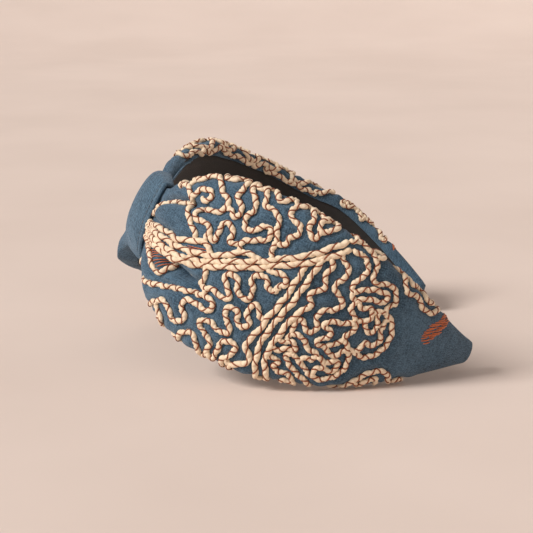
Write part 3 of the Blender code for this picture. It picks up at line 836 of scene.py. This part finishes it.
def satin_parts(cover, seed):
    """The rust satin bar near the tip, stitch by stitch."""
    draw = np.random.default_rng(seed)
    parts = []
    rows = np.array(SATIN_BAR)
    for w in np.arange(rows[0, 0], rows[-1, 0], 0.88):
        left, right = (np.interp(w, rows[:, 0], rows[:, i]) for i in (1, 2))
        middle = 0.5 * (left + right)
        spans = ((left, middle + 0.5), (middle - 0.5, right)) if right - left > 4.5 else ((left, right),)
        for k, (a, b) in enumerate(spans):
            a, b = a + draw.uniform(-0.8, 0.8), b + draw.uniform(-0.8, 0.8)
            low = w - 0.5 + draw.uniform(-0.1, 0.1) + 0.35 * k
            parts.append(stitch(cover, (a, low), (b, low + 1.3), 0.4 + 0.1 * k, 0.58))
    return parts


def fill_parts(cover, seed):
    """Rust stitches between the cords near the knot."""
    draw = np.random.default_rng(seed)
    parts = []
    for t in np.linspace(0, 1, 7):
        a, b = np.array(LADDER[0]) * (1 - t) + np.array(LADDER[1]) * t
        a = a + draw.uniform(-0.25, 0.25, 2)
        b = b + draw.uniform(-0.25, 0.25, 2)
        parts.append(stitch(cover, a, b, 0.6, 0.4))
    for t in np.linspace(-0.9, 0.9, 3):
        a = np.array(SPINDLE[0]) + (1.2 * abs(t), 0.9 * t)
        b = np.array(SPINDLE[1]) + (-1.2 * abs(t), 0.6 * t)
        parts.append(stitch(cover, a, b, 0.6, 0.34, 15))
    return parts


def edge_routes(routes, side):
    """Routes along the upper (1) or lower (-1) edge, as (s, w)."""
    out = []
    for route in routes:
        out.append(tuple((s, side * (float(smooth(s, HALF_WIDTH)) + beyond)) for s, beyond in route))
    return tuple(out)


# Group: (CAD node it stands for, routes, cord width, cord height, couching legs).
GROUPS = (
    ("stem_cords_", STEMS, 2.4, 2.3, (5.2, 3.7)),
    ("branch_cords_", BRANCHES, 2.4, 2.25, (4.6, 3.3)),
    ("upper_vine_cord_", UPPER_VINES + edge_routes(UPPER_EDGE, 1), 2.3, 2.1, (3.3, 2.4)),
    ("lower_vine_cord_", LOWER_VINES + (VEE,) + edge_routes(LOWER_EDGE, -1), 2.3, 2.1, (3.3, 2.4)),
    ("petal_cord_", FLOWER, 2.2, 2.05, (2.9, 2.2)),
    ("upper_sprig_cord_", UPPER_SPRIGS, 2.25, 2.05, (2.9, 2.2)),
    ("lower_sprig_cord_", LOWER_SPRIGS, 2.25, 2.05, (2.9, 2.2)),
)
TUCK_REACH = 4.6
UNDER_STRAP = 13.5


def tucked(groups):
    """The groups' routes, each end run on under the nearest other cord if one is close."""
    curves = [smooth_route(route, 0.8) for group in groups for route in group]
    count = 0
    out = []
    for group in groups:
        changed = []
        for route in group:
            others = np.vstack(curves[:count] + curves[count + 1 :])
            route = [np.array(point, float) for point in route]
            for end in (0, -1):
                if route[end][0] < UNDER_STRAP:
                    continue
                gaps = np.linalg.norm(others - route[end], axis=1)
                if 0.8 < gaps.min() < TUCK_REACH:
                    route.insert(0 if end == 0 else len(route), others[gaps.argmin()])
            changed.append(route)
            count += 1
        out.append(changed)
    return out


def add_arm(side, tag):
    """One arm's cover, foam, lining, cords and stitches."""
    body = tag + "_arm"
    cover = Cover(side)
    routes_of = tucked([group[1] for group in GROUPS])
    curves = [smooth_route(route, 0.8) for routes in routes_of for route in routes]
    cloth = add_cover(cover, tag, curves)
    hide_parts("cover_" + tag, "tip_fold_" + tag, *(["gather_core"] if side > 0 else []))
    foam = add_foam(cover, tag)
    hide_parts("foam_pad_" + tag)
    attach(foam, body)
    lining = add_lining(side, tag)
    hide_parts("lining_" + tag)
    for piece in (cloth, lining):
        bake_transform(piece)
    threads = []
    seed = 11
    for (name, _, width, height, legs), routes in zip(GROUPS, routes_of):
        cords = []
        for i, route in enumerate(routes):
            seed += 1
            lift = 0.12 * (i % 3)
            cord, its_threads = couched(cover, route, width, height, legs, seed, lift)
            cords.append(cord)
            threads += its_threads
        points, faces, uv = joined(cords)
        made = make_object("couched_" + name + tag, points, faces, MATERIALS["cord"], uv)
        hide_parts(name + tag)
        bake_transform(made)
    stitching = (
        ("couching_thread_", "thread", threads),
        ("satin_stitches_", "satin", satin_parts(cover, 5)),
        ("satin_filling_", "satin", fill_parts(cover, 6)),
    )
    for name, material, parts in stitching:
        points, faces, uv = joined(parts)
        made = make_object(name + tag, points, faces, MATERIALS[material], uv)
        if name == "satin_stitches_":
            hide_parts("satin_bar_" + tag)
        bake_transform(made)


class Shader:
    """A procedural material, built node by node."""

    def __init__(self, name, **constants):
        self.material = bpy.data.materials.new(name)
        self.material.use_nodes = True
        self.nodes = self.material.node_tree.nodes
        self.links = self.material.node_tree.links
        self.principled = self.nodes["Principled BSDF"]
        for socket, value in constants.items():
            self.principled.inputs[socket.replace("_", " ")].default_value = value

    def node(self, kind, inputs=None, **settings):
        made = self.nodes.new(kind)
        for name, value in settings.items():
            setattr(made, name, value)
        for socket, value in (inputs or {}).items():
            if isinstance(value, bpy.types.NodeSocket):
                self.links.new(value, made.inputs[socket])
            else:
                made.inputs[socket].default_value = value
        return made

    def uv(self, scale, turn=0.0):
        source = self.node("ShaderNodeUVMap", uv_map="UVMap")
        inputs = {0: source.outputs[0], "Scale": scale, "Rotation": (0, 0, turn)}
        return self.node("ShaderNodeMapping", inputs).outputs[0]

    def noise(self, vector, scale=1.0, detail=2.0, roughness=0.5):
        inputs = {"Vector": vector, "Scale": scale, "Detail": detail, "Roughness": roughness}
        return self.node("ShaderNodeTexNoise", inputs).outputs[0]

    def math(self, operation, a, b=0.0, c=0.0):
        return self.node("ShaderNodeMath", {0: a, 1: b, 2: c}, operation=operation).outputs[0]

    def ramp(self, factor, low, high, colours):
        made = self.node("ShaderNodeValToRGB", {0: factor})
        ends = made.color_ramp.elements
        ends[0].position, ends[1].position = low, high
        ends[0].color, ends[1].color = ((*colour, 1) for colour in colours)
        return made.outputs[0]

    def colour(self, socket):
        self.links.new(socket, self.principled.inputs["Base Color"])

    def bump(self, height, strength, distance):
        made = self.node("ShaderNodeBump", {"Height": height, "Strength": strength, "Distance": distance})
        self.links.new(made.outputs[0], self.principled.inputs["Normal"])

    def roughness(self, socket):
        self.links.new(socket, self.principled.inputs["Roughness"])


def weave(shader, period):
    """Plain weave height from the UVs (millimetres), and the yarns' slubs along each direction."""
    warp = shader.uv((1, 1, 1))
    split = shader.node("ShaderNodeSeparateXYZ", {0: warp})
    wobble = shader.math("MULTIPLY", shader.noise(shader.uv((0.9, 0.9, 1))), 1.2)
    k = 2 * math.pi / period
    a = shader.math("SINE", shader.math("MULTIPLY_ADD", split.outputs[0], k, wobble))
    b = shader.math("SINE", shader.math("MULTIPLY_ADD", split.outputs[1], k, wobble))
    height = shader.math("MULTIPLY", a, b)
    along = shader.noise(shader.uv((0.35, 3.2, 1)), detail=3)
    across = shader.noise(shader.uv((3.2, 0.35, 1)), detail=3)
    slub = shader.math("ADD", along, across)
    return height, slub


def chambray_material(name, dark, light):
    """Blue cloth with pale slubs, worn patches and specks."""
    shader = Shader(name, Sheen_Weight=0.35, Sheen_Roughness=0.45, Specular_IOR_Level=0.25)
    shader.principled.inputs["Sheen Tint"].default_value = (0.62, 0.75, 0.9, 1)
    height, slub = weave(shader, 0.52)
    worn = shader.noise(shader.uv((0.06, 0.06, 1)), detail=4)
    speck = shader.noise(shader.uv((1.5, 1.8, 1)), detail=4, roughness=0.7)
    tone = shader.math("MULTIPLY_ADD", slub, 0.45, shader.math("MULTIPLY", worn, 0.3))
    tone = shader.math("MULTIPLY_ADD", speck, 0.6, tone)
    tone = shader.math("MULTIPLY_ADD", height, 0.05, tone)
    shader.colour(shader.ramp(tone, 0.76, 1.16, (dark, light)))
    shader.roughness(shader.math("MULTIPLY_ADD", slub, 0.25, 0.6))
    relief = shader.math("MULTIPLY_ADD", slub, 0.9, height)
    shader.bump(relief, 0.6, 0.00016)
    return shader.material


def cord_material():
    """Cream cord, with fibres at a slant."""
    shader = Shader("cord", Sheen_Weight=0.25, Sheen_Roughness=0.4, Specular_IOR_Level=0.3)
    fibres = shader.noise(shader.uv((0.8, 5.5, 1), turn=0.35), detail=4, roughness=0.6)
    blotch = shader.noise(shader.uv((0.25, 0.25, 1)), detail=2)
    tone = shader.math("MULTIPLY_ADD", fibres, 0.6, shader.math("MULTIPLY", blotch, 0.4))
    shader.colour(shader.ramp(tone, 0.3, 0.68, ((0.71, 0.53, 0.35), (0.96, 0.81, 0.62))))
    shader.roughness(shader.math("MULTIPLY_ADD", fibres, 0.4, 0.5))
    shader.bump(fibres, 0.55, 0.00025)
    return shader.material


def thread_material(name, dark, light, gloss, sheen):
    """Stranded sewing thread."""
    shader = Shader(name, Sheen_Weight=sheen, Specular_IOR_Level=0.4)
    strands = shader.noise(shader.uv((1.6, 9, 1), turn=0.5), detail=2)
    shader.colour(shader.ramp(strands, 0.35, 0.65, (dark, light)))
    shader.roughness(shader.math("MULTIPLY_ADD", strands, 0.3, gloss))
    shader.bump(strands, 0.4, 0.00008)
    return shader.material


def lining_material():
    """Near-black woven cloth."""
    shader = Shader("lining", Sheen_Weight=0.2, Sheen_Roughness=0.5, Specular_IOR_Level=0.3)
    height, slub = weave(shader, 0.7)
    shader.colour(shader.ramp(slub, 0.7, 1.3, NEAR_BLACK))
    shader.roughness(shader.math("MULTIPLY_ADD", slub, 0.2, 0.6))
    shader.bump(shader.math("MULTIPLY_ADD", slub, 0.6, height), 0.4, 0.00012)
    return shader.material


def object_noise_material(name, dark, light, scale, roughness, distance):
    """For pieces with no UVs: grain in the object's own coordinates."""
    shader = Shader(name)
    where = shader.node("ShaderNodeTexCoord").outputs["Object"]
    grain = shader.noise(where, scale=scale, detail=3)
    shader.colour(shader.ramp(grain, 0.35, 0.65, (dark, light)))
    shader.roughness(shader.math("MULTIPLY_ADD", grain, 0.2, roughness - 0.1))
    shader.bump(grain, 0.3, distance)
    return shader.material


NEAR_BLACK = ((0.011, 0.010, 0.0095), (0.026, 0.023, 0.021))
MATERIALS = {
    "chambray": chambray_material("chambray", (0.012, 0.034, 0.060), (0.101, 0.182, 0.262)),
    # The strap's copy of the chambray is lighter: painted light standing in for the light falling on the
    # strap's face.
    "strap": chambray_material("strap_chambray_painted_lighter", (0.016, 0.042, 0.071), (0.118, 0.206, 0.290)),
    "stitching": thread_material("stitching", (0.07, 0.11, 0.155), (0.20, 0.27, 0.34), 0.5, 0.2),
    "cord": cord_material(),
    "thread": thread_material("couching_thread", (0.13, 0.024, 0.005), (0.36, 0.085, 0.017), 0.4, 0.2),
    "satin": thread_material("satin", (0.34, 0.07, 0.018), (0.66, 0.17, 0.045), 0.3, 0.2),
    "lining": lining_material(),
    "foam": object_noise_material("foam", (0.55, 0.53, 0.48), (0.80, 0.78, 0.72), 900, 0.95, 0.0003),
    "plastic": object_noise_material("plastic", (0.022, 0.022, 0.022), (0.04, 0.04, 0.04), 400, 0.5, 0.0001),
    "floor": object_noise_material("floor", (0.72, 0.60, 0.535), (0.76, 0.638, 0.572), 6, 0.9, 0.0),
    "lining_plain": object_noise_material("lining_plain", *NEAR_BLACK, 1500, 0.8, 0.0001),
}

# The camera turns from the row's +Y and looks down, upright. Its distances from the aim are millimetres.
CAMERA_TURN = 5.61
CAMERA_DOWN = 12.08
CAMERA_AIM = (70.0, 0, 0)
CAMERA_AWAY = 694.2
CAMERA_LEFT = 11.4
CAMERA_ABOVE = 0.46
CAMERA_LENS = 114.5
FLAT_RADIUS = 1.4
BOWL_RADIUS = 1.2
FLOOR_HEIGHT = -0.0012


def add_camera():
    turn, down = math.radians(CAMERA_TURN), math.radians(CAMERA_DOWN)
    forward = np.array((math.sin(turn) * math.cos(down), math.cos(turn) * math.cos(down), -math.sin(down)))
    right = np.array((math.cos(turn), -math.sin(turn), 0))
    up = np.cross(right, forward)
    aim = to_row(np.array(CAMERA_AIM)) / MM
    spot = (aim - CAMERA_AWAY * forward - CAMERA_LEFT * right + CAMERA_ABOVE * up) * MM
    data = bpy.data.cameras.new("camera")
    data.lens = CAMERA_LENS
    data.sensor_width = 36
    data.clip_start = 0.01
    camera = linked("camera", data)
    camera.location = spot
    camera.rotation_euler = Vector(forward).to_track_quat("-Z", "Y").to_euler()
    bpy.context.scene.camera = camera


def add_light(name, location, size, power, colour):
    """A round area light facing the object."""
    data = bpy.data.lights.new(name, "AREA")
    data.shape = "DISK"
    data.size = size
    data.energy = power
    data.color = colour
    light = linked(name, data)
    light.location = location
    light.rotation_euler = (Vector((0, 0, 0.03)) - Vector(location)).to_track_quat("-Z", "Y").to_euler()


def add_sun(name, towards, softness, strength, colour):
    """A far light in this direction from the object."""
    data = bpy.data.lights.new(name, "SUN")
    data.angle = math.radians(softness)
    data.energy = strength
    data.color = colour
    light = linked(name, data)
    light.rotation_euler = Vector(towards).to_track_quat("Z", "Y").to_euler()


def add_stage():
    """A pale bowl: flat floor that turns up far behind the object on every side."""
    profile = [(r, 0) for r in (0.3, 0.7, 1.1, FLAT_RADIUS)]
    for angle in np.linspace(0, math.pi / 2, 13)[1:]:
        height = BOWL_RADIUS * (1 - math.cos(angle))
        profile.append((FLAT_RADIUS + BOWL_RADIUS * math.sin(angle), height))
    count = 96
    around = np.linspace(0, 2 * math.pi, count, endpoint=False)
    points, faces = [(0.0, 0.0, 0.0)], []
    for radius, height in profile:
        points += [(radius * math.cos(a), radius * math.sin(a), height) for a in around]
    for j in range(count):
        faces.append((0, 1 + j, 1 + (j + 1) % count))
    faces += [tuple(face) for face in grid_faces(len(profile), count, 1, closed=True, flip=True)]
    mesh = bpy.data.meshes.new("floor")
    mesh.from_pydata(points, [], faces)
    mesh.shade_smooth()
    mesh.materials.append(MATERIALS["floor"])
    floor = linked("floor", mesh)
    floor.location.z = FLOOR_HEIGHT


def add_studio():
    """Soft light all round, a sun on the left and a weak light in front."""
    world = bpy.data.worlds.new("studio")
    world.use_nodes = True
    background = world.node_tree.nodes["Background"]
    background.inputs[0].default_value = (1.0, 0.95, 0.91, 1)
    background.inputs[1].default_value = 0.38
    bpy.context.scene.world = world
    add_sun("key", (-1.12, -0.36, 0.88), softness=22, strength=2.95, colour=(1.0, 0.97, 0.94))
    add_light("front", (-0.7, -1.1, 0.5), size=0.7, power=1.8, colour=(1.0, 0.96, 0.93))


def finish_frame_nodes():
    """Materials of the hidden CAD pieces that stay."""
    for name in ("hoop_crown", "hoop_arm_left", "hoop_arm_right", "lining_crown"):
        for slot in frame["nodes"][name].material_slots:
            slot.material = MATERIALS["lining_plain" if name == "lining_crown" else "plastic"]


def main():
    bpy.context.scene.view_settings.view_transform = "Standard"
    add_camera()
    add_stage()
    add_studio()
    knot = add_knot()
    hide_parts("knot_wrap")
    stitching = add_knot_stitching()
    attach(knot, "crown")
    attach(stitching, "crown")
    for side, tag in ((1, "left"), (-1, "right")):
        add_arm(side, tag)
    finish_frame_nodes()


main()
